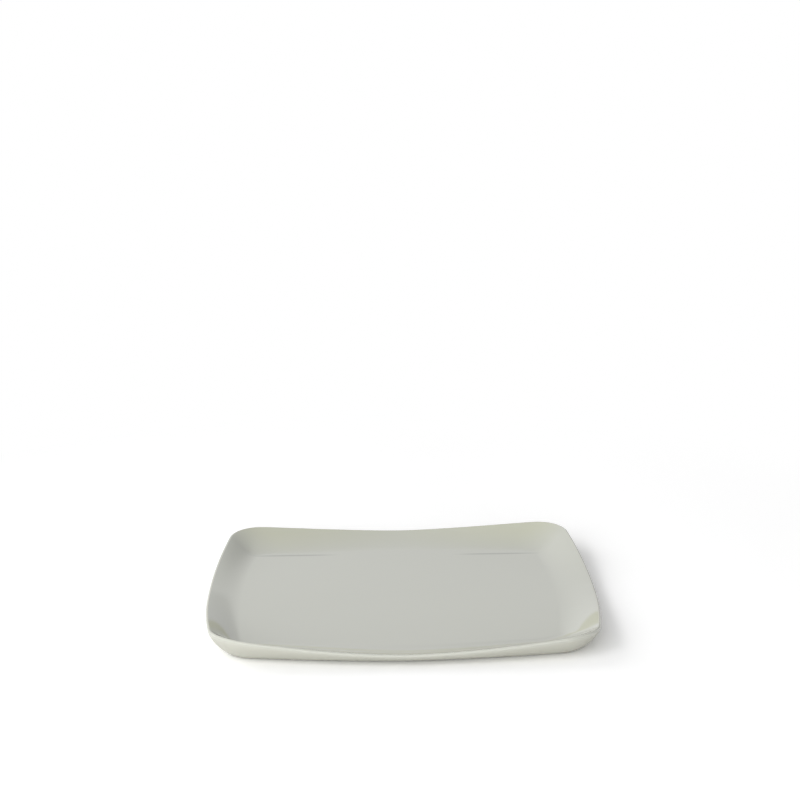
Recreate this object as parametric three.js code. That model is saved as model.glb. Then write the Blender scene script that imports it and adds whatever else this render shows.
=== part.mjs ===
import * as THREE from 'three';

// A square serving platter of slip-cast porcelain, in millimetres, with +Z up.
// The origin is on the table under the middle of the platter, +X is its right side and +Y its back.
// It is one fired body, bare on the outside, with a clear glaze coat fused to its inside.

// Plan of the rim: four sides that bow outwards a little, joined by round corners.
const overallWidth = 300;
const sideBowRadius = 791;
const rimCornerRadius = 32.6;

// The lip is a round edge. It dips in the middle of each side and rises to the corners.
// The heights are those of the centre of its round, and each corner has its own, as hand work has.
const lipRadius = 1.2;
const midLipHeight = 7.9;
const backRightRise = 9.4;
const backLeftRise = 8.4;
const frontLeftRise = 9.5;
const frontRightRise = 7.9;
const riseExponent = 1.65;

// The outside wall swells from the base up to the lip. An exponent of 1 is a straight wall, 2 an ellipse.
const baseInset = 15;
const baseCornerRadius = 16.4;
const wallExponent = 1.46;

// The platter rests on a flat band. Inside the band its underside is a shallow recess.
const restingBandWidth = 13;
const recessSlopeWidth = 4;
const recessDepth = 0.8;
const recessCornerRadius = 14;

// Inside, a flat floor turns up in a cove, which meets the lip without a crease.
const floorHeight = 4;
const coveRun = 34;
const floorCornerRadius = 24;

// The glaze lies on the floor and keeps a hair's breadth from the cove and the lip.
const glazeThickness = 0.4;
const glazeClearance = 0.3;

// How finely the curves are cut.
const sideSteps = 10;
const cornerSteps = 8;
const wallSteps = 7;
const lipSteps = 4;
const coveSteps = 7;

const quarterTurn = Math.PI / 2;
const rimHalfWidth = overallWidth / 2 - lipRadius;

// Points of a bowed square with round corners, anticlockwise from above, each with its outward direction.
// The corner arc touches the two side arcs from inside, which fixes its centre on the diagonal.
function bowedSquare(halfWidth, bowRadius, cornerRadius) {
  const bowCentre = halfWidth - bowRadius;
  const centreGap = bowRadius - cornerRadius;
  const cornerCentre = (bowCentre + Math.sqrt(2 * centreGap ** 2 - bowCentre ** 2)) / 2;
  const meetAngle = Math.atan2(cornerCentre, cornerCentre - bowCentre);
  const middle = new THREE.Vector2();
  const points = [];
  const addArc = (centre, radius, from, to, steps, turn) => {
    for (let step = 0; step < steps; step += 1) {
      const angle = from + ((to - from) * step) / steps;
      const out = new THREE.Vector2(Math.cos(angle), Math.sin(angle));
      const at = centre.clone().addScaledVector(out, radius);
      points.push({ at: at.rotateAround(middle, turn), out: out.rotateAround(middle, turn) });
    }
  };
  for (let quarter = 0; quarter < 4; quarter += 1) {
    const turn = quarter * quarterTurn;
    const sideCentre = new THREE.Vector2(bowCentre, 0);
    const diagonalCentre = new THREE.Vector2(cornerCentre, cornerCentre);
    addArc(sideCentre, bowRadius, -meetAngle, meetAngle, sideSteps, turn);
    addArc(diagonalCentre, cornerRadius, meetAngle, quarterTurn - meetAngle, cornerSteps, turn);
  }
  return points;
}

const insetSquare = (inset, cornerRadius) =>
  bowedSquare(rimHalfWidth - inset, sideBowRadius - inset, cornerRadius);

const rim = bowedSquare(rimHalfWidth, sideBowRadius, rimCornerRadius);
const base = insetSquare(baseInset, baseCornerRadius);
const bandInside = insetSquare(baseInset + restingBandWidth, recessCornerRadius);
const recessEdge = insetSquare(baseInset + restingBandWidth + recessSlopeWidth, recessCornerRadius);
const floorEdge = insetSquare(coveRun, floorCornerRadius);

// Height of the lip's centre at a point of the rim: nothing is added in the middle of a side,
// and the whole rise of the nearest corner is added at the corner's tip.
const tipProduct = Math.max(...rim.map(({ at }) => Math.abs(at.x * at.y)));
function lipHeight({ x, y }) {
  const backRise = x > 0 ? backRightRise : backLeftRise;
  const frontRise = x > 0 ? frontRightRise : frontLeftRise;
  const rise = y > 0 ? backRise : frontRise;
  return midLipHeight + rise * (Math.abs(x * y) / tipProduct) ** riseExponent;
}

// One station for each point of the rim: its plan places from the lip in to the floor, and its heights.
// The lip's round turns past its top until it has the slope that the cove has there.
const stations = rim.map(({ at, out }, index) => {
  const floorPoint = floorEdge[index].at;
  const centreHeight = lipHeight(at);
  const rise = centreHeight + lipRadius - floorHeight;
  const coveSlope = Math.atan2(2 * rise, at.distanceTo(floorPoint));
  const lipPoint = (angle) => {
    const place = at.clone().addScaledVector(out, lipRadius * Math.cos(angle));
    return new THREE.Vector3(place.x, place.y, centreHeight + lipRadius * Math.sin(angle));
  };
  return { basePoint: base[index].at, floorPoint, coveSlope, lipPoint };
});

const flatRing = (outline, height) => outline.map(({ at }) => new THREE.Vector3(at.x, at.y, height));

// A ring of the outside wall: part of a squashed ellipse from the base to the outermost line of the lip.
function wallRing(share) {
  const angle = share * quarterTurn;
  const outShare = Math.sin(angle) ** (2 / wallExponent);
  const upShare = 1 - Math.cos(angle) ** (2 / wallExponent);
  return stations.map(({ basePoint, lipPoint }) => {
    const foot = new THREE.Vector3(basePoint.x, basePoint.y, 0);
    const edge = lipPoint(0);
    const ring = foot.clone().lerp(edge, outShare);
    ring.z = edge.z * upShare;
    return ring;
  });
}

// A ring of the lip's round, from its outermost line over the top to where the cove begins.
const lipRing = (share) =>
  stations.map(({ coveSlope, lipPoint }) => lipPoint(share * (quarterTurn + coveSlope)));

// A ring of the cove, whose height follows the square of the way from the floor out to the lip.
// It lies the given drop below the glaze's face, and stops the given distance short of the way's share.
function coveRing(share, drop, shortBy = 0) {
  return stations.map(({ floorPoint, coveSlope, lipPoint }) => {
    const foot = new THREE.Vector3(floorPoint.x, floorPoint.y, floorHeight);
    const top = lipPoint(quarterTurn + coveSlope);
    const way = Math.hypot(top.x - foot.x, top.y - foot.y);
    const along = share - shortBy / way;
    const ring = foot.clone().lerp(top, along);
    ring.z = floorHeight + (top.z - floorHeight) * along ** 2 - drop;
    return ring;
  });
}

// A closed solid through a list of rings, with a flat fan across the first ring and the last one.
// The rings run from the middle of the underside outwards, over the edge and in to the middle of the top.
function solidThroughRings(rings) {
  const count = rings[0].length;
  const positions = rings.flat().flatMap(({ x, y, z }) => [x, y, z]);
  const underMiddle = rings.length * count;
  const topMiddle = underMiddle + 1;
  positions.push(0, 0, rings[0][0].z);
  positions.push(0, 0, rings.at(-1)[0].z);
  const faces = [];
  for (let index = 0; index < count; index += 1) {
    const next = (index + 1) % count;
    const lastRing = (rings.length - 1) * count;
    faces.push(underMiddle, next, index);
    faces.push(topMiddle, lastRing + index, lastRing + next);
    for (let ring = 0; ring < lastRing; ring += count) {
      faces.push(ring + index, ring + next, ring + count + next);
      faces.push(ring + index, ring + count + next, ring + count + index);
    }
  }
  const geometry = new THREE.BufferGeometry();
  geometry.setAttribute('position', new THREE.Float32BufferAttribute(positions, 3));
  geometry.setIndex(faces);
  geometry.computeVertexNormals();
  return geometry;
}

const sharesUpTo = (steps) => Array.from({ length: steps }, (_, step) => (step + 1) / steps);
const inwardShares = sharesUpTo(coveSteps).map((share) => 1 - share);

// The fired body. Under the glaze it lies lower by the coat's thickness, and by the clearance off the floor.
function porcelainBody() {
  const seatDrop = (share) => glazeThickness + (share > 0 ? glazeClearance : 0);
  return solidThroughRings([
    flatRing(recessEdge, recessDepth),
    flatRing(bandInside, 0),
    flatRing(base, 0),
    ...sharesUpTo(wallSteps).map(wallRing),
    ...sharesUpTo(lipSteps).map(lipRing),
    coveRing(1, seatDrop(1)),
    ...inwardShares.map((share) => coveRing(share, seatDrop(share))),
  ]);
}

// The glaze coat: its underside from the middle out, its thin edge beside the lip, and its top back in.
function innerGlaze() {
  const outwardShares = [...inwardShares].reverse();
  return solidThroughRings([
    ...outwardShares.map((share) => coveRing(share, glazeThickness)),
    coveRing(1, glazeThickness, glazeClearance),
    coveRing(1, 0, glazeClearance),
    ...inwardShares.map((share) => coveRing(share, 0)),
  ]);
}

function namedMesh(name, geometry, material) {
  const mesh = new THREE.Mesh(geometry, material);
  mesh.name = name;
  return mesh;
}

const barePorcelain = new THREE.MeshStandardMaterial({ color: '#cfcfc4', roughness: 0.55, metalness: 0 });
const clearGlaze = new THREE.MeshStandardMaterial({ color: '#c4c5ba', roughness: 0.08, metalness: 0 });

const group = new THREE.Group();
group.add(namedMesh('porcelain_body', porcelainBody(), barePorcelain));
group.add(namedMesh('inner_glaze', innerGlaze(), clearGlaze));

export default group;
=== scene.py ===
# %% [markdown]
# A square serving platter of slip-cast porcelain, about 300 mm across, bare outside and glazed inside.
# It is one fired body with one coat of glaze, so the scene has two pieces: the body and the coat.
# Both follow one rule all the way round: a bowed square outline, a lip that dips in the middle of each
# side and rises to the corners, and a cove that sweeps from the lip down to a flat floor.
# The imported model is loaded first. It is the fixed frame that every piece has to sit in.

# %% Load the frame
import math
from types import SimpleNamespace

import bpy
from mathutils import Matrix, Vector


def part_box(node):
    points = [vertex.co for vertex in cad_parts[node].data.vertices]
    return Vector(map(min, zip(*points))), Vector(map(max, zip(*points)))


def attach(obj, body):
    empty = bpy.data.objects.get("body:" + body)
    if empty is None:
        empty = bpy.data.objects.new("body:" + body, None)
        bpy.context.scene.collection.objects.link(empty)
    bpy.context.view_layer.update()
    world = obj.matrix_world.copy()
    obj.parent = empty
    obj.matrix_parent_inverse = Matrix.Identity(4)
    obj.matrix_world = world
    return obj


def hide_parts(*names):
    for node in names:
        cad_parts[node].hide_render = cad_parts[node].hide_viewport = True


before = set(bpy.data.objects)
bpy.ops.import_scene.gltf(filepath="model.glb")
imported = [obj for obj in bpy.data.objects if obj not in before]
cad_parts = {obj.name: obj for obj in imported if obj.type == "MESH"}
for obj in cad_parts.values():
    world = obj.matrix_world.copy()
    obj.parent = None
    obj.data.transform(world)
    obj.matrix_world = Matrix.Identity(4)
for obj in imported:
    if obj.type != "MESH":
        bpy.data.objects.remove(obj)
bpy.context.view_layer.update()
scene = bpy.context.scene
print("pieces in the frame:", sorted(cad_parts))

# %% [markdown]
# Blender works in metres and a potter in millimetres, so every size is written in millimetres once.
# What the frame can tell is measured on it: the width over the sides, the lip's height in the middle
# of a side, and how far it rises at each corner. The corners differ a little, as hand work does.

# %% Sizes taken from the frame
mm = 0.001
lip_radius = 1.2 * mm

body_low, body_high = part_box("porcelain_body")
cast_points = [vertex.co.copy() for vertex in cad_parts["porcelain_body"].data.vertices]


def lip_centre_height(points):
    """The height of the lip's round over some of the body's points: their top, less its radius."""
    return max(point.z for point in points) - lip_radius


middle_strip = 1 * mm
middle_points = [p for p in cast_points if abs(p.x) < middle_strip or abs(p.y) < middle_strip]
lip_in_the_middle = lip_centre_height(middle_points)


def corner_rise(side_x, side_y):
    """How far the lip climbs from the middle of a side to the corner in that quarter."""
    quarter = [p for p in cast_points if p.x * side_x > 0 and p.y * side_y > 0]
    return lip_centre_height(quarter) - lip_in_the_middle


rises = {
    "Back Right Rise": corner_rise(1, 1),
    "Back Left Rise": corner_rise(-1, 1),
    "Front Left Rise": corner_rise(-1, -1),
    "Front Right Rise": corner_rise(1, -1),
}
print("lip in the middle of a side:", round(lip_in_the_middle / mm, 2), "mm")
print({name: round(rise / mm, 2) for name, rise in rises.items()})

# %% [markdown]
# The rest of the form is written out. An inset is how far an outline lies inside the rim, and each
# outline has its own corner radius. The exponents say how a curve bends: the wall swells a little
# more than a straight one, and the lip keeps low along a side before it climbs to its corner.
# Inside, each side's cove has its own run from the lip to the floor, as the highlights in a hand-made
# mould show, and its own fullness: 1 is a parabola, more rises early, and less rises late.
# The whole is a hair narrower than the frame, so that rounding can't push it out.

# %% Sizes of the form
hair = 0.002 * mm
form_sizes = {
    "Overall Width": body_high.x - body_low.x - hair,
    "Side Bow Radius": 791 * mm,
    "Rim Corner Radius": 32.6 * mm,
    "Lip Radius": lip_radius,
    "Lip in the Middle": lip_in_the_middle,
    **rises,
    "Rise Exponent": 1.65,
    "Base Inset": 15 * mm,
    "Base Corner Radius": 16.4 * mm,
    "Wall Exponent": 1.46,
    "Resting Band Width": 13 * mm,
    "Recess Slope Width": 4 * mm,
    "Recess Depth": 0.8 * mm,
    "Recess Corner Radius": 14 * mm,
    "Floor Height": 4 * mm,
    "Right Cove Run": 30 * mm,
    "Back Cove Run": 42 * mm,
    "Left Cove Run": 24 * mm,
    "Front Cove Run": 38 * mm,
    "Right Cove Fullness": 1.8,
    "Back Cove Fullness": 1.4,
    "Left Cove Fullness": 2.0,
    "Front Cove Fullness": 0.7,
    "Floor Corner Radius": 22 * mm,
    "Coat Depth": 0.4 * mm,
    "Coat Edge": 0.03 * mm,
}
print(len(form_sizes), "sizes, width", round(form_sizes["Overall Width"] / mm, 2), "mm")

# %% [markdown]
# A shape that follows a rule is what Geometry Nodes are good at. Its sums are Math nodes, and long
# sums are hard to read as a web of nodes, so a small helper lets them be written as plain arithmetic.
# A Wire is one number on its way through a tree, and adding two Wires adds the node that does it.
# The same helper serves the shader trees later.

# %% A helper that writes nodes as sums
nodes_in_a_row = 16
node_width = 200
node_height = 260


def add_node(tree, kind, feeds=(), **settings):
    """A new node with its settings made and its inputs fed, set down beside the last one."""
    node = tree.nodes.new(kind)
    row, column = divmod(len(tree.nodes) - 1, nodes_in_a_row)
    node.location = (column * node_width, -row * node_height)
    for name, value in settings.items():
        setattr(node, name, value)
    for name, value in dict(feeds).items():
        feed(node.inputs[name], value)
    return node


def feed(socket, value):
    """Gives an input its value: a Wire is linked to it, and anything else is typed into it."""
    if isinstance(value, Wire):
        value.tree.links.new(value.socket, socket)
    else:
        socket.default_value = value


class Wire:
    """A number that travels through a node tree. Each sum written with it adds a Math node."""

    def __init__(self, tree, socket):
        self.tree = tree
        self.socket = socket

    def math(self, operation, *values):
        node = add_node(self.tree, "ShaderNodeMath", enumerate(values), operation=operation)
        return Wire(self.tree, node.outputs[0])

    def __add__(self, other):
        return self.math("ADD", self, other)

    def __sub__(self, other):
        return self.math("SUBTRACT", self, other)

    def __rsub__(self, other):
        return self.math("SUBTRACT", other, self)

    def __mul__(self, other):
        return self.math("MULTIPLY", self, other)

    def __truediv__(self, other):
        return self.math("DIVIDE", self, other)

    def __rtruediv__(self, other):
        return self.math("DIVIDE", other, self)

    def __pow__(self, other):
        return self.math("POWER", self, other)

    def __gt__(self, other):
        return self.math("GREATER_THAN", self, other)

    def sine(self):
        return self.math("SINE", self)

    def cosine(self):
        return self.math("COSINE", self)

    def root(self):
        return self.math("SQRT", self)

    def size(self):
        return self.math("ABSOLUTE", self)

    def whole(self):
        return self.math("FLOOR", self)

    def at_least(self, lowest):
        return self.math("MAXIMUM", self, lowest)

    def at_most(self, highest):
        return self.math("MINIMUM", self, highest)

    def angle_over(self, run):
        return self.math("ARCTAN2", self, run)

    def blend(self, start, end):
        """This share of the way from start to end, both given as Wires."""
        return start + (end - start) * self

    def eased(self):
        """A share that leaves 0 and reaches 1 gently."""
        return self * self * (3 - self * 2)


def add_tree(name, kind, inputs, outputs):
    """An empty tree with its named sockets, and a Wire from each of its number inputs."""
    tree = bpy.data.node_groups.new(name, kind)
    for socket_name, socket_type in inputs.items():
        tree.interface.new_socket(socket_name, in_out="INPUT", socket_type=socket_type)
    for socket_name, socket_type in outputs.items():
        tree.interface.new_socket(socket_name, in_out="OUTPUT", socket_type=socket_type)
    source = add_node(tree, "NodeGroupInput")
    wires = {socket_name: Wire(tree, source.outputs[socket_name]) for socket_name in inputs}
    return tree, wires


number = "NodeSocketFloat"
print("nodes are set down", nodes_in_a_row, "to a row")

# %% [markdown]
# The outline is a square whose sides bow outwards, each a slice of a very large circle, joined by
# round corners. It could be drawn as a curve and swept, but a sweep turns its section at the corners.
# Here a group works out each point from its share of one turn, so that all outlines of the platter
# have their points in step and can be joined by straight rows.
# A corner's circle touches the two side circles from inside, which fixes its centre on the diagonal.

# %% The bowed square outline
side_stations = 60
corner_stations = 40
stations = 4 * (side_stations + corner_stations)
quarter_turn = math.pi / 2


def build_bowed_square():
    """The group that turns a share of one turn into a point of a bowed square."""
    names = ["Turn Share", "Half Width", "Bow Radius", "Corner Radius"]
    results = ["X", "Y", "Out X", "Out Y", "Tip Reach"]
    tree, given = add_tree(
        "Bowed Square", "GeometryNodeTree", dict.fromkeys(names, number), dict.fromkeys(results, number)
    )
    turn_share, half_width, bow_radius, corner_radius = (given[name] for name in names)
    quarters = turn_share * 4
    quarter = quarters.whole()
    within = quarters - quarter

    bow_centre = half_width - bow_radius
    centre_gap = bow_radius - corner_radius
    corner_centre = (bow_centre + (centre_gap**2 * 2 - bow_centre**2).root()) / 2
    meet_angle = corner_centre.angle_over(corner_centre - bow_centre)

    side_share = side_stations / (side_stations + corner_stations)
    on_corner = within > side_share
    side_angle = meet_angle * (within / side_share * 2 - 1)
    corner_way = (within - side_share) / (1 - side_share)
    corner_angle = meet_angle + (quarter_turn - meet_angle * 2) * corner_way
    quarter_angle = quarter * quarter_turn
    angle = on_corner.blend(side_angle, corner_angle) + quarter_angle
    radius = on_corner.blend(bow_radius, corner_radius)
    centre_x = on_corner.blend(bow_centre, corner_centre)
    centre_y = on_corner * corner_centre

    turned_x = centre_x * quarter_angle.cosine() - centre_y * quarter_angle.sine()
    turned_y = centre_x * quarter_angle.sine() + centre_y * quarter_angle.cosine()
    out_x = angle.cosine()
    out_y = angle.sine()
    found = {
        "X": turned_x + out_x * radius,
        "Y": turned_y + out_y * radius,
        "Out X": out_x,
        "Out Y": out_y,
        "Tip Reach": corner_centre + corner_radius / math.sqrt(2),
    }
    add_node(tree, "NodeGroupOutput", found)
    return tree


bowed_square = build_bowed_square()
print("bowed square:", len(bowed_square.nodes), "nodes,", stations, "points round the platter")

# %% [markdown]
# At each station round the rim the profile is drawn from a handful of values: where the rim, the base
# and the floor's edge are, how high the lip is and how steeply the cove meets it. They are worked out
# once in a tree and shared by all the strips of skin in it.
# The lip's height follows the product of x and y, which is nothing in the middle of a side and most
# at a corner's tip. The cove is a cubic curve that starts level at the floor, so it needs no crease
# there, and the lip's round turns on past its top until it has the slope that the cove ends with.
# Round a corner, one side's run and fullness turn gently into those of the next.

# %% One station of the rim
coat_size_names = ["Overall Width", "Side Bow Radius", "Rim Corner Radius", "Lip Radius"]
coat_size_names += ["Lip in the Middle", *rises, "Rise Exponent", "Floor Height"]
coat_size_names += ["Floor Corner Radius", "Coat Depth", "Coat Edge"]
coat_size_names += [name for name in form_sizes if "Cove" in name]


def add_outline(tree, turn, size, inset, corner_radius):
    """A bowed square that lies inside the rim by the inset."""
    half_width = size["Overall Width"] / 2 - size["Lip Radius"]
    shape = {
        "Turn Share": turn,
        "Half Width": half_width - inset,
        "Bow Radius": size["Side Bow Radius"] - inset,
        "Corner Radius": corner_radius,
    }
    node = add_node(tree, "GeometryNodeGroup", node_tree=bowed_square)
    for name, value in shape.items():
        feed(node.inputs[name], value)
    wires = [Wire(tree, socket) for socket in node.outputs]
    return SimpleNamespace(**dict(zip(("x", "y", "out_x", "out_y", "tip_reach"), wires)))


def add_lip_height(rim, corner_share, size):
    """The height of the lip's centre over a point of the rim."""
    on_right = rim.x > 0
    on_back = rim.y > 0
    back_rise = on_right.blend(size["Back Left Rise"], size["Back Right Rise"])
    front_rise = on_right.blend(size["Front Left Rise"], size["Front Right Rise"])
    rise = on_back.blend(front_rise, back_rise)
    return size["Lip in the Middle"] + rise * corner_share ** size["Rise Exponent"]


def side_value(rim, size, what):
    """A size that each side has its own of, and that turns into its neighbour's round the corner."""
    left_or_right = (rim.x > 0).blend(size[f"Left {what}"], size[f"Right {what}"])
    front_or_back = (rim.y > 0).blend(size[f"Front {what}"], size[f"Back {what}"])
    return (rim.out_x * rim.out_x).blend(front_or_back, left_or_right)


def add_station(tree, turn, size):
    """The rim, the floor's edge, and the two rules that give points on the lip and on the cove."""
    rim = add_outline(tree, turn, size, 0, size["Rim Corner Radius"])
    cove_run = side_value(rim, size, "Cove Run")
    fullness = side_value(rim, size, "Cove Fullness")
    floor_edge = add_outline(tree, turn, size, cove_run, size["Floor Corner Radius"])
    corner_share = (rim.x * rim.y).size() / rim.tip_reach**2
    lip_height = add_lip_height(rim, corner_share, size)
    rise = lip_height + size["Lip Radius"] - size["Floor Height"]
    run = ((rim.x - floor_edge.x) ** 2 + (rim.y - floor_edge.y) ** 2).root()
    cove_slope = (rise * (3 - fullness)).angle_over(run)

    def lip_point(angle):
        reach = size["Lip Radius"] * angle.cosine()
        height = lip_height + size["Lip Radius"] * angle.sine()
        return rim.x + rim.out_x * reach, rim.y + rim.out_y * reach, height

    top_x, top_y, top_height = lip_point(cove_slope + quarter_turn)

    def cove_point(way, drop):
        climb = way**2 * fullness - way**3 * (fullness - 1)
        height = size["Floor Height"] + (top_height - size["Floor Height"]) * climb - drop
        return way.blend(floor_edge.x, top_x), way.blend(floor_edge.y, top_y), height

    return SimpleNamespace(
        lip_point=lip_point,
        cove_point=cove_point,
        cove_slope=cove_slope,
        floor_edge=floor_edge,
        corner_share=corner_share,
        back_share=rim.out_y.at_least(0.0) ** 2,
    )


print("the coat is shaped by", len(coat_size_names), "of the sizes")

# %% [markdown]
# The skin is made in strips. Each strip is a flat grid, one unit wide and one long, whose points are
# moved to their place: the grid's x is the share of the turn, and its y the share of the way across
# the strip. The strips run from the middle of the underside outwards, up the wall, over the lip and
# in to the middle of the top, so all faces point outwards. Merge by Distance then closes the seam
# where the turn ends, the joins between strips, and the two middles.

# %% A strip of skin
merge_distance = 0.004 * mm


def new_skin(name, size_names):
    """A tree with inputs for its sizes, and a grid point's share of the turn and of the way."""
    inputs = dict.fromkeys(size_names, number)
    tree, size = add_tree(name, "GeometryNodeTree", inputs, {"Geometry": "NodeSocketGeometry"})
    place = add_node(tree, "GeometryNodeInputPosition")
    split = add_node(tree, "ShaderNodeSeparateXYZ")
    tree.links.new(place.outputs[0], split.inputs[0])
    turn = Wire(tree, split.outputs["X"]) + 0.5
    way = Wire(tree, split.outputs["Y"]) + 0.5
    return tree, size, turn, way


def add_strip(tree, place, rows, marks=()):
    """One strip, moved to its place and cut into rows, and marked for the material where asked."""
    grid = add_node(tree, "GeometryNodeMeshGrid")
    feed(grid.inputs["Size X"], 1.0)
    feed(grid.inputs["Size Y"], 1.0)
    feed(grid.inputs["Vertices X"], stations + 1)
    feed(grid.inputs["Vertices Y"], rows + 1)
    mesh = grid.outputs["Mesh"]
    for mark, value in dict(marks).items():
        store = add_node(tree, "GeometryNodeStoreNamedAttribute", {"Name": mark, "Value": value})
        tree.links.new(mesh, store.inputs["Geometry"])
        mesh = store.outputs["Geometry"]
    joined = add_node(tree, "ShaderNodeCombineXYZ", zip("XYZ", place))
    move = add_node(tree, "GeometryNodeSetPosition")
    tree.links.new(mesh, move.inputs["Geometry"])
    tree.links.new(joined.outputs[0], move.inputs["Position"])
    return move.outputs["Geometry"]


def finish_skin(tree, strips, material):
    """Joins the strips into one closed skin and ends the tree."""
    join = add_node(tree, "GeometryNodeJoinGeometry")
    for strip in strips:
        tree.links.new(strip, join.inputs[0])
    merge = add_node(tree, "GeometryNodeMergeByDistance", {"Distance": merge_distance})
    realize = add_node(tree, "GeometryNodeRealizeInstances")
    finish = add_node(tree, "GeometryNodeSetMaterial", {"Material": material})
    output = add_node(tree, "NodeGroupOutput")
    chain = [join, merge, realize, finish, output]
    for before, after in zip(chain, chain[1:]):
        tree.links.new(before.outputs[0], after.inputs[0])


print("merging points closer than", round(merge_distance / mm, 4), "mm")

# %% [markdown]
# Fired clay is never one flat colour. The kiln leaves soft clouds a few centimetres across, and both
# the bare body and the glazed inside have them, so they are one shader group, used twice.
# The second group is a relief: fine grain on the bare clay, and slow ripples in the glaze.
# Both read Object coordinates, which are metres on the platter, so that the patterns keep their size.

# %% Groups for clouds and relief
def add_surface_noise(tree, patch_size, detail):
    """Noise in the platter's own space whose patches have the given size."""
    place = add_node(tree, "ShaderNodeTexCoord")
    noise = add_node(tree, "ShaderNodeTexNoise", {"Detail": detail})
    tree.links.new(place.outputs["Object"], noise.inputs["Vector"])
    feed(noise.inputs["Scale"], 1.0 / patch_size)
    return Wire(tree, noise.outputs["Fac"])


def build_kiln_clouds():
    """A colour that drifts lighter and darker by a small share."""
    inputs = {"Colour": "NodeSocketColor", "Patch Size": number, "Drift Share": number}
    outputs = {"Colour": "NodeSocketColor", "Cloud": number}
    tree, given = add_tree("Kiln Clouds", "ShaderNodeTree", inputs, outputs)
    cloud = add_surface_noise(tree, given["Patch Size"], detail=3.0)
    shade = (cloud * 2 - 1) * given["Drift Share"] + 1
    tinted = add_node(tree, "ShaderNodeVectorMath", {"Scale": shade}, operation="SCALE")
    tree.links.new(given["Colour"].socket, tinted.inputs[0])
    found = {"Colour": Wire(tree, tinted.outputs[0]), "Cloud": cloud}
    add_node(tree, "NodeGroupOutput", found)
    return tree


def build_relief():
    """A height in metres that rises and falls by the given depth."""
    inputs = {"Patch Size": number, "Depth": number}
    tree, given = add_tree("Surface Relief", "ShaderNodeTree", inputs, {"Height": number})
    bumps = add_surface_noise(tree, given["Patch Size"], detail=2.0)
    add_node(tree, "NodeGroupOutput", {"Height": bumps * given["Depth"]})
    return tree


kiln_clouds = build_kiln_clouds()
surface_relief = build_relief()
print("shader groups:", kiln_clouds.name, "and", surface_relief.name)

# %% [markdown]
# A material is a tree too. This helper starts one with the shader and its output, so that each
# finish below only says what makes it different. A value that is the same all over goes straight
# into the shader's own socket.

# %% A helper that starts a material
def new_material(name, **plain_values):
    """A material with one Principled shader, whose plain values are set on its sockets."""
    material = bpy.data.materials.new(name)
    material.use_nodes = True
    tree = material.node_tree
    tree.nodes.clear()
    shader = add_node(tree, "ShaderNodeBsdfPrincipled")
    for socket_name, value in plain_values.items():
        feed(shader.inputs[socket_name.replace("_", " ")], value)
    output = add_node(tree, "ShaderNodeOutputMaterial")
    tree.links.new(shader.outputs[0], output.inputs["Surface"])
    return material, tree, shader


def add_clouds(tree, colour, patch_size, drift_share):
    """The kiln clouds in a colour: the tinted colour's socket, and the clouds as a Wire."""
    given = {"Colour": (*colour, 1.0), "Patch Size": patch_size, "Drift Share": drift_share}
    node = add_node(tree, "ShaderNodeGroup", node_tree=kiln_clouds)
    for name, value in given.items():
        feed(node.inputs[name], value)
    return node.outputs["Colour"], Wire(tree, node.outputs["Cloud"])


def add_relief(tree, patch_size, depth):
    """The relief's height as a Wire."""
    node = add_node(tree, "ShaderNodeGroup", node_tree=surface_relief)
    feed(node.inputs["Patch Size"], patch_size)
    feed(node.inputs["Depth"], depth)
    return Wire(tree, node.outputs["Height"])


def raise_surface(tree, shader, height):
    """Turns a height in metres into the shader's normal."""
    bump = add_node(tree, "ShaderNodeBump", {"Height": height, "Distance": 1.0})
    tree.links.new(bump.outputs[0], shader.inputs["Normal"])


def add_mark(tree, mark):
    """A share that the strips stored on the skin."""
    node = add_node(tree, "ShaderNodeAttribute", attribute_name=mark)
    return Wire(tree, node.outputs["Fac"])


print("helpers for materials are ready")

# %% [markdown]
# The glaze is clear and glassy over the warm grey-white porcelain. It could be built as real glass
# over clay, but a coat half a millimetre deep shows no depth of its own, so one shader does both:
# the clay's colour below and a smooth glossy face above. The glaze never dries dead flat, so slow
# ripples run through it, too shallow to see except where they bend a reflection.
# High on the back wall the glaze is painted warmer, most near its two corners. This is a painted
# reflection tint, where that wall mirrors less of the white room.
# At the foot of that wall two long thin lines are painted a shade darker, as painted reflections.

# %% The clear glaze
def mix_colours(tree, share, colour, other):
    """The socket of a colour that goes over into another one by a share."""
    mix = add_node(tree, "ShaderNodeMix", data_type="RGBA")
    feed(mix.inputs[0], share)
    tree.links.new(colour, mix.inputs[6])
    tree.links.new(other, mix.inputs[7])
    return mix.outputs[2]


def add_painted_reflection_line(tree, middle_x, middle_y, half_length, half_width):
    """The share of a long thin painted reflection line: 1 in its middle, and nothing at its edge."""
    place = add_node(tree, "ShaderNodeTexCoord")
    split = add_node(tree, "ShaderNodeSeparateXYZ")
    tree.links.new(place.outputs["Object"], split.inputs[0])
    along = (Wire(tree, split.outputs["X"]) - middle_x) / half_length
    across = (Wire(tree, split.outputs["Y"]) - middle_y) / half_width
    return (1 - along**2 - across**2).at_least(0.0).eased()


def make_glaze():
    """The finish of the inside: clear and glossy, with a painted warm tint and painted dark lines."""
    material, tree, shader = new_material("clear_glaze", IOR=1.5)
    colour, cloud = add_clouds(tree, glazed_colour, glaze_cloud, glaze_drift)
    # The back wall's warmer colour is a painted reflection tint.
    painted_tint, _ = add_clouds(tree, back_wall_reflection_tint, glaze_cloud, glaze_drift)
    painted_line_colour, _ = add_clouds(tree, reflection_line_colour, glaze_cloud, glaze_drift)
    colour = mix_colours(tree, add_mark(tree, "painted_back_tint"), colour, painted_tint)
    # Two darker lines are painted at the foot of the back wall: painted reflections.
    for reflection_line in painted_reflection_lines:
        colour = mix_colours(tree, add_painted_reflection_line(tree, *reflection_line), colour, painted_line_colour)
    tree.links.new(colour, shader.inputs["Base Color"])
    feed(shader.inputs["Roughness"], cloud * glaze_roughness_drift + glaze_roughness)
    raise_surface(tree, shader, add_relief(tree, ripple_length, ripple_depth))
    return material


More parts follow.
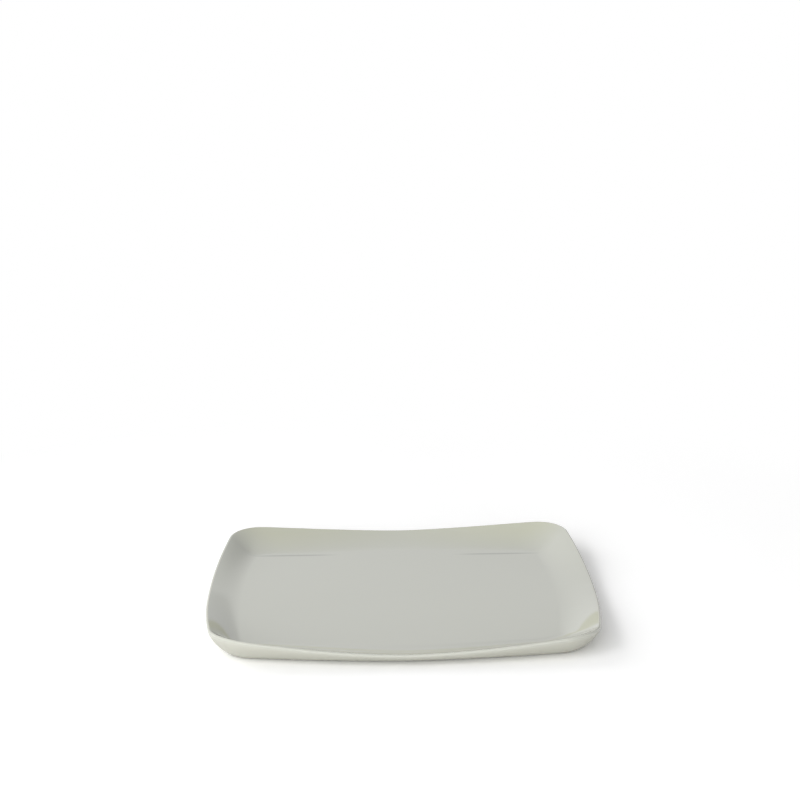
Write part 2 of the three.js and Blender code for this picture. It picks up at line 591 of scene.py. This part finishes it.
glazed_colour = (0.497, 0.505, 0.452)
# A warmer colour painted on the back wall: a painted reflection tint.
back_wall_reflection_tint = (0.505, 0.512, 0.413)
# The colour of the painted reflection lines, a shade darker than the glaze.
reflection_line_colour = (0.375, 0.385, 0.345)
glaze_cloud = 70 * mm
glaze_drift = 0.012
glaze_roughness = 0.045
glaze_roughness_drift = 0.03
ripple_length = 14 * mm
ripple_depth = 0.002 * mm
# Where the two painted reflection lines lie: middle x and y, half length and half width.
painted_reflection_lines = [(-88 * mm, 99 * mm, 42 * mm, 3 * mm), (82 * mm, 95.5 * mm, 40 * mm, 3 * mm)]
glaze_finish = make_glaze()
print("glaze:", len(glaze_finish.node_tree.nodes), "nodes")

# %% [markdown]
# Outside, the porcelain is bare: smooth, matte and nearly as pale as under the glaze. At the lip the
# glaze was wiped back to a thin film, so it has a soft sheen there, and the lip and the top of the
# wall are painted lighter as a painted highlight. The flat band that the platter rests on was rubbed
# on a stone after firing, which leaves it rougher and greyer. The skin's strips carry these two marks,
# so that both follow the shape.

# %% The bare porcelain
def make_bare_porcelain():
    """Matte outside, with a sheen and a painted highlight at the lip, and rub marks underneath."""
    material, tree, shader = new_material("bare_porcelain", IOR=1.5)
    gloss_and_highlight = add_mark(tree, "lip_gloss_and_highlight")
    rubbed = add_mark(tree, "foot_rub")
    colour, cloud = add_clouds(tree, bare_colour, clay_cloud, clay_drift)
    # The lip's lighter colour is a painted highlight.
    painted_highlight, _ = add_clouds(tree, lip_highlight_colour, clay_cloud, clay_drift)
    worn, _ = add_clouds(tree, rubbed_colour, wear_patch, wear_drift)
    for share, other in ((gloss_and_highlight, painted_highlight), (rubbed, worn)):
        colour = mix_colours(tree, share, colour, other)
    tree.links.new(colour, shader.inputs["Base Color"])
    matte = cloud * clay_roughness_drift + clay_roughness
    feed(shader.inputs["Roughness"], matte - gloss_and_highlight * smoother_at_the_lip + rubbed * rougher_underneath)
    grain = add_relief(tree, grain_size, grain_depth) * (1 - gloss_and_highlight)
    tool_marks = add_relief(tree, tool_mark_length, tool_mark_depth)
    raise_surface(tree, shader, grain + tool_marks)
    return material


bare_colour = (0.50, 0.50, 0.439)
# A lighter colour for the lip: a painted highlight.
lip_highlight_colour = (0.53, 0.535, 0.478)
rubbed_colour = (0.50, 0.49, 0.44)
clay_cloud = 60 * mm
clay_drift = 0.02
wear_patch = 5 * mm
wear_drift = 0.05
clay_roughness = 0.46
clay_roughness_drift = 0.08
smoother_at_the_lip = 0.3
rougher_underneath = 0.2
grain_size = 0.5 * mm
grain_depth = 0.006 * mm
tool_mark_length = 12 * mm
tool_mark_depth = 0.003 * mm
bare_finish = make_bare_porcelain()
print("bare porcelain:", len(bare_finish.node_tree.nodes), "nodes")

# %% [markdown]
# A tree only shapes something once a modifier runs it on an object. This tool does so on an empty
# mesh, types the sizes in, and keeps the result as a plain mesh, so that nothing live is left in the
# piece. Faces that meet at less than the crease angle are shaded as one smooth surface.

# %% Tools that turn a tree into a piece
def make_piece(name, tree):
    """Runs a tree on an empty mesh with its sizes typed in, and keeps the result as a plain mesh."""
    piece = bpy.data.objects.new(name, bpy.data.meshes.new(name))
    scene.collection.objects.link(piece)
    modifier = piece.modifiers.new(tree.name, "NODES")
    modifier.node_group = tree
    for item in tree.interface.items_tree:
        if item.in_out == "INPUT":
            modifier[item.identifier] = form_sizes[item.name]
    evaluated = piece.evaluated_get(bpy.context.evaluated_depsgraph_get())
    mesh = bpy.data.meshes.new_from_object(evaluated)
    piece.modifiers.clear()
    piece.data = mesh
    mesh.name = name
    mesh.shade_smooth()
    mesh.set_sharp_from_angle(angle=math.radians(crease_angle))
    return piece


def describe(piece):
    """Prints how fine a piece is, and how many of its edges are open."""
    mesh = piece.data
    triangles = sum(len(face.vertices) - 2 for face in mesh.polygons)
    faces_at = [0] * len(mesh.edges)
    for loop in mesh.loops:
        faces_at[loop.edge_index] += 1
    open_edges = sum(count != 2 for count in faces_at)
    print(piece.name, triangles, "triangles,", open_edges, "open edges")


crease_angle = 40
print("edges sharper than", crease_angle, "degrees stay sharp")

# %% [markdown]
# Now the body itself. Its skin starts in the middle of the underside, in a shallow recess, steps
# down to the resting band, swells up the wall, rounds the lip, and then runs in under the glaze,
# where it lies lower by the depth of the coat. A squashed ellipse gives the wall its swell.

# %% The fired body
def add_coat_depth(way, size):
    """How deep the coat is: whole on the floor, and thinned out to nothing at the lip."""
    thinning_share = 0.15
    shallow = ((1 - way) / thinning_share).at_most(1.0)
    return size["Coat Depth"] * shallow.eased()


def build_body_tree():
    """The body's skin, from the middle of its underside to the middle of its floor."""
    tree, size, turn, way = new_skin("Fired Body", form_sizes)
    station = add_station(tree, turn, size)
    base = add_outline(tree, turn, size, size["Base Inset"], size["Base Corner Radius"])
    band_inset = size["Base Inset"] + size["Resting Band Width"]
    recess_inset = band_inset + size["Recess Slope Width"]
    band_inside = add_outline(tree, turn, size, band_inset, size["Recess Corner Radius"])
    recess = add_outline(tree, turn, size, recess_inset, size["Recess Corner Radius"])
    depth = size["Recess Depth"]
    ground = way * 0

    underside = (recess.x * way, recess.y * way, ground + depth)
    slope_height = depth - depth * way.eased()
    slope = (way.blend(recess.x, band_inside.x), way.blend(recess.y, band_inside.y), slope_height)
    band = (way.blend(band_inside.x, base.x), way.blend(band_inside.y, base.y), ground)

    wall_angle = way * quarter_turn
    swell = 2 / size["Wall Exponent"]
    out_share = wall_angle.sine() ** swell
    up_share = 1 - wall_angle.cosine().size() ** swell
    edge_x, edge_y, edge_height = station.lip_point(ground)
    wall = (out_share.blend(base.x, edge_x), out_share.blend(base.y, edge_y), edge_height * up_share)

    lip = station.lip_point(way * (station.cove_slope + quarter_turn))
    inwards = 1 - way
    step_drop = way * size["Coat Edge"]
    step_down = station.cove_point(ground + 1, step_drop)
    coat_drop = add_coat_depth(inwards, size) + size["Coat Edge"] * inwards
    cove = station.cove_point(inwards, coat_drop)
    floor_edge = station.floor_edge
    seat_height = size["Floor Height"] - size["Coat Depth"] + ground
    floor = (floor_edge.x * inwards, floor_edge.y * inwards, seat_height)

    rub_end = 0.07
    gloss_and_highlight_start = 0.75
    rub_fade = 1 - (way / rub_end).at_most(1.0)
    gloss_and_highlight_share = ((way - gloss_and_highlight_start) / (1 - gloss_and_highlight_start)).at_least(0.0)
    # The lip mark gives a real sheen and a painted highlight together.
    wall_marks = {"foot_rub": rub_fade, "lip_gloss_and_highlight": gloss_and_highlight_share.eased()}
    strips = [
        add_strip(tree, underside, rows=4),
        add_strip(tree, slope, rows=8, marks={"foot_rub": way.eased()}),
        add_strip(tree, band, rows=3, marks={"foot_rub": ground + 1}),
        add_strip(tree, wall, rows=30, marks=wall_marks),
        # The whole lip carries the sheen and the painted highlight.
        add_strip(tree, lip, rows=14, marks={"lip_gloss_and_highlight": ground + 1}),
        add_strip(tree, step_down, rows=1),
        add_strip(tree, cove, rows=16),
        add_strip(tree, floor, rows=3),
    ]
    finish_skin(tree, strips, bare_finish)
    return tree


body_tree = build_body_tree()
fired_body = make_piece("fired_body", body_tree)
describe(fired_body)

# %% [markdown]
# The coat of glaze is a skin of its own, because it is another material with another gloss. It is
# closed like the body: its underside lies just above the clay, its edge thins out beside the lip,
# and its top is the face that one sees. That face follows the cove's own curve, and it carries the
# mark of the painted warm tint, a painted reflection up the back wall, most near its two corners.

# %% The coat of glaze
def build_coat_tree():
    """The coat's skin: its underside, its thin edge, and the face that one sees."""
    tree, size, turn, way = new_skin("Glaze Coat", coat_size_names)
    station = add_station(tree, turn, size)
    floor_edge = station.floor_edge
    ground = way * 0
    inwards = 1 - way
    bedded_share = 0.9
    thickness = size["Coat Depth"] * bedded_share
    edge = size["Coat Edge"] * (1 - clear_of_the_clay)
    seat_drop = add_coat_depth(way, size) * bedded_share + edge
    under_height = size["Floor Height"] - thickness - edge + ground
    top_height = size["Floor Height"] + ground
    # The share of the painted warm tint, a painted reflection on the back wall, most near its corners.
    tint_share = station.corner_share * more_tint_near_corners + tint_in_the_middle
    painted_tint_at_the_lip = tint_share * station.back_share
    under_floor = (floor_edge.x * way, floor_edge.y * way, under_height)
    under_cove = station.cove_point(way, seat_drop)
    rim_edge = station.cove_point(ground + 1, edge * inwards)
    cove = station.cove_point(inwards, ground)
    floor = (floor_edge.x * inwards, floor_edge.y * inwards, top_height)
    strips = [
        add_strip(tree, under_floor, rows=3),
        add_strip(tree, under_cove, rows=16),
        add_strip(tree, rim_edge, rows=1, marks={"painted_back_tint": painted_tint_at_the_lip}),
        add_strip(tree, cove, rows=48, marks={"painted_back_tint": painted_tint_at_the_lip * inwards}),
        add_strip(tree, floor, rows=8),
    ]
    finish_skin(tree, strips, glaze_finish)
    return tree


clear_of_the_clay = 0.3
# How strong the painted reflection tint is in the middle of the back wall and near its corners.
tint_in_the_middle = 0.45
more_tint_near_corners = 0.9
coat_tree = build_coat_tree()
glaze_coat = make_piece("glaze_coat", coat_tree)
describe(glaze_coat)

# %% [markdown]
# Both pieces ride on the platter's one body and stand for the frame's two nodes.

# %% Pieces into the frame
for piece, node, finish in (
    (fired_body, "porcelain_body", "bare_porcelain"),
    (glaze_coat, "inner_glaze", "clear_glaze"),
):
    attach(piece, "root")
    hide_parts(node)
print("pieces:", fired_body.name, "and", glaze_coat.name)

# %% [markdown]
# The platter stands on a plain white table. The table is matte and nearly white, and it is lit a
# little below white, so that the platter's own pale colour has room below it. For the camera and in
# reflections the table is lifted to white by a second matte layer, which keeps the soft shadow. The
# lamps reach the right side less, so the lift is a little stronger there.
# Far from the platter the table goes over into a plain white glow, like a paper sweep.

# %% The table
def add_background_rays(tree):
    """1 for rays that look at the background: the camera's, mirrored ones and those through glass."""
    path = add_node(tree, "ShaderNodeLightPath")
    kinds = ("Is Camera Ray", "Is Glossy Ray", "Is Transmission Ray")
    camera_ray, mirrored_ray, glass_ray = (Wire(tree, path.outputs[kind]) for kind in kinds)
    return (camera_ray + mirrored_ray + glass_ray).at_most(1.0)


def share_between(wire, start, end):
    """How far a Wire has come from start to end, as a share that leaves 0 and reaches 1 gently."""
    return ((wire - start) / (end - start)).at_most(1.0).at_least(0.0).eased()


def grey(tree, value):
    """A grey colour from a Wire."""
    node = add_node(tree, "ShaderNodeCombineXYZ", zip("XYZ", (value, value, value)))
    return node.outputs[0]


def make_table():
    """The table under the platter, white and matte, which fades into a white glow far out."""
    reach = 12.0
    paper = (0.94, 0.94, 0.94, 1.0)
    below_the_band = 0.02 * mm
    mesh = bpy.data.meshes.new("table")
    corners = [(-reach, -reach, 0), (reach, -reach, 0), (reach, reach, 0), (-reach, reach, 0)]
    mesh.from_pydata(corners, [], [(0, 1, 2, 3)])
    table = bpy.data.objects.new("table", mesh)
    scene.collection.objects.link(table)
    table.location.z = -below_the_band
    material = bpy.data.materials.new("white_table")
    material.use_nodes = True
    tree = material.node_tree
    tree.nodes.clear()
    mesh.materials.append(material)

    place = add_node(tree, "ShaderNodeTexCoord")
    split = add_node(tree, "ShaderNodeSeparateXYZ")
    tree.links.new(place.outputs["Object"], split.inputs[0])
    on_right = share_between(Wire(tree, split.outputs["X"]), 0.0, right_lift_whole_from)
    seen = add_background_rays(tree)
    matte = add_node(tree, "ShaderNodeBsdfDiffuse", {"Color": paper})
    lift = add_node(tree, "ShaderNodeBsdfDiffuse")
    tree.links.new(grey(tree, seen * (on_right * right_lift + table_lift)), lift.inputs["Color"])
    both = add_node(tree, "ShaderNodeAddShader")
    tree.links.new(matte.outputs[0], both.inputs[0])
    tree.links.new(lift.outputs[0], both.inputs[1])

    length = add_node(tree, "ShaderNodeVectorMath", operation="LENGTH")
    tree.links.new(place.outputs["Object"], length.inputs[0])
    distance = Wire(tree, length.outputs["Value"])
    fade = share_between(distance, sweep_start, sweep_end)
    glow = add_node(tree, "ShaderNodeEmission", {"Color": white, "Strength": 1.0})
    mix = add_node(tree, "ShaderNodeMixShader")
    feed(mix.inputs[0], fade * seen)
    tree.links.new(both.outputs[0], mix.inputs[1])
    tree.links.new(glow.outputs[0], mix.inputs[2])
    output = add_node(tree, "ShaderNodeOutputMaterial")
    tree.links.new(mix.outputs[0], output.inputs["Surface"])
    return table


white = (1.0, 1.0, 1.0, 1.0)
table_lift = 0.215
right_lift = 0.045
right_lift_whole_from = 0.2
sweep_start = 0.32
sweep_end = 0.6
table = make_table()
print("table is white beyond", sweep_end, "m")

# %% [markdown]
# Five soft boxes stand round the table, as in a studio for tableware. The key is a wide one at the
# front left, with a smaller one above it, a low one in front that looks in under the wall, one
# behind at the left that draws the shadow, and a faint one behind at the right.
# The world adds an even fill that is a little stronger from the left. It shows plain white to the
# camera, and the glaze mirrors the same white room. The lamps are left out of what it mirrors, or
# they would lie on it as hard white patches. At the back, at the right, two panels make the room a
# shade dimmer, a low one and a tall one, and a warm strip runs just over the table. That strip is
# what shows as a small patch in each of the two front corners.

# %% The lights
def add_soft_box(name, azimuth, elevation, width, height, radiance):
    """An area lamp that faces the platter. Azimuth 0 is the front, and it grows to the right."""
    around = math.radians(azimuth)
    above = math.radians(elevation)
    level = Vector((math.sin(around), -math.cos(around), 0.0))
    toward = level * math.cos(above) + Vector((0.0, 0.0, math.sin(above)))
    lamp = bpy.data.lights.new(name, "AREA")
    lamp.shape = "RECTANGLE"
    lamp.size = width
    lamp.size_y = height
    lamp.energy = radiance * math.pi * width * height
    box = bpy.data.objects.new(name, lamp)
    scene.collection.objects.link(box)
    box.location = toward * box_distance
    box.rotation_euler = (-toward).to_track_quat("-Z", "Y").to_euler()
    box.visible_camera = False
    box.visible_glossy = False
    return box


def add_warm_strip(upwards, right):
    """The strip in the mirrored room, as a strength. It lies lower and is weaker on the right."""
    sides = zip(strip_on_left, strip_on_right)
    foot, top, strength = (right * (on_right - on_left) + on_left for on_left, on_right in sides)
    above_foot = share_between(upwards, foot - strip_blur, foot + strip_blur)
    above_top = share_between(upwards, top - strip_blur, top + strip_blur)
    return above_foot * (1 - above_top) * strength


def light_world():
    """The room round the table: white to the camera, shaped to mirrored rays, and a fill to the rest."""
    world = bpy.data.worlds.new("studio")
    scene.world = world
    world.use_nodes = True
    tree = world.node_tree
    tree.nodes.clear()
    direction = add_node(tree, "ShaderNodeTexCoord")
    split = add_node(tree, "ShaderNodeSeparateXYZ")
    tree.links.new(direction.outputs["Generated"], split.inputs[0])
    to_right = Wire(tree, split.outputs["X"])
    to_back = Wire(tree, split.outputs["Y"])
    upwards = Wire(tree, split.outputs["Z"])

    fill = fill_all_round - to_right * fill_slope
    behind = share_between(to_back, *back_of_the_room)
    past_the_panels = share_between(to_right, *end_of_the_panels)
    right = share_between(to_right, *middle_of_the_room)
    low = 1 - share_between(upwards, *top_of_the_low_panel)
    far_right = share_between(to_right, *edge_of_the_tall_panel)
    panels = (low * right * low_panel + far_right * tall_panel) * (1 - past_the_panels)
    strip = add_warm_strip(upwards, right)
    mirrored = 1 - (panels + strip * strip_dimming) * behind
    mirrored_blue = mirrored - strip * behind * strip_warmth
    seen = add_background_rays(tree)
    camera_ray = Wire(tree, add_node(tree, "ShaderNodeLightPath").outputs["Is Camera Ray"])
    plain_white = camera_ray * 0 + 1
    channels = [
        camera_ray.blend(seen.blend(fill, shade), plain_white)
        for shade in (mirrored, mirrored, mirrored_blue)
    ]
    colour = add_node(tree, "ShaderNodeCombineXYZ", zip("XYZ", channels))
    background = add_node(tree, "ShaderNodeBackground", {"Strength": 1.0})
    tree.links.new(colour.outputs[0], background.inputs["Color"])
    output = add_node(tree, "ShaderNodeOutputWorld")
    tree.links.new(background.outputs[0], output.inputs["Surface"])


fill_all_round = 0.52
fill_slope = 0.22
low_panel = 0.25
tall_panel = 0.4
back_of_the_room = (0.3, 0.5)
middle_of_the_room = (-0.06, 0.08)
top_of_the_low_panel = (0.27, 0.325)
edge_of_the_tall_panel = (0.13, 0.4)
end_of_the_panels = (0.5, 0.7)
strip_on_left = (0.087, 0.16, 1.4)
strip_on_right = (0.005, 0.066, 0.9)
strip_blur = 0.006
strip_dimming = 0.22
strip_warmth = 0.16
light_world()
box_distance = 2.5
soft_boxes = [
    add_soft_box("key_box", azimuth=329, elevation=20, width=2.8, height=0.7, radiance=3.6),
    add_soft_box("high_left_box", azimuth=301, elevation=38, width=1.4, height=0.7, radiance=3.7),
    add_soft_box("low_front_box", azimuth=358, elevation=6, width=3.0, height=0.6, radiance=3.7),
    add_soft_box("back_left_box", azimuth=234, elevation=21, width=1.6, height=1.8, radiance=2.6),
    add_soft_box("back_right_box", azimuth=130, elevation=18, width=1.6, height=0.9, radiance=1.0),
]
for box in soft_boxes:
    print(box.name, round(box.data.energy, 1), "W")

# %% [markdown]
# The camera has a long lens and looks at the platter from the front, thirteen degrees down, from
# almost a metre and a half away. The platter sits low in the picture, so the lens points over it.
# The camera is turned and rolled by a degree, as a hand-set tripod is.

# %% The camera
def place_camera():
    """A camera with the photograph's angle, distance and frame."""
    pitch = math.radians(13.158958)
    turn = math.radians(0.957960)
    roll = math.radians(0.615166)
    distance = 1477.5 * mm
    over_the_platter = 154.55 * mm
    beside_the_platter = 0.33 * mm
    right = Vector((1, 0, 0))
    ahead = Vector((0, math.cos(pitch), -math.sin(pitch)))
    up = Vector((0, math.sin(pitch), math.cos(pitch)))
    place = right * beside_the_platter - ahead * distance + up * over_the_platter
    rolled_right = right * math.cos(roll) - up * math.sin(roll)
    rolled_up = right * math.sin(roll) + up * math.cos(roll)
    turned = Matrix.Rotation(-turn, 3, "Z")
    columns = [turned @ vector for vector in (rolled_right, rolled_up, -ahead)]
    lens = bpy.data.cameras.new("camera")
    lens.sensor_width = 36
    lens.lens = 85
    lens.clip_end = 100
    camera = bpy.data.objects.new("camera", lens)
    scene.collection.objects.link(camera)
    camera.matrix_world = Matrix.Translation(turned @ place) @ Matrix(columns).transposed().to_4x4()
    scene.camera = camera
    return camera


camera = place_camera()
print("camera at", [round(value, 3) for value in camera.matrix_world.translation])

# %% [markdown]
# The colours go to the screen as they are.

# %% Finish
scene.view_settings.view_transform = "Standard"
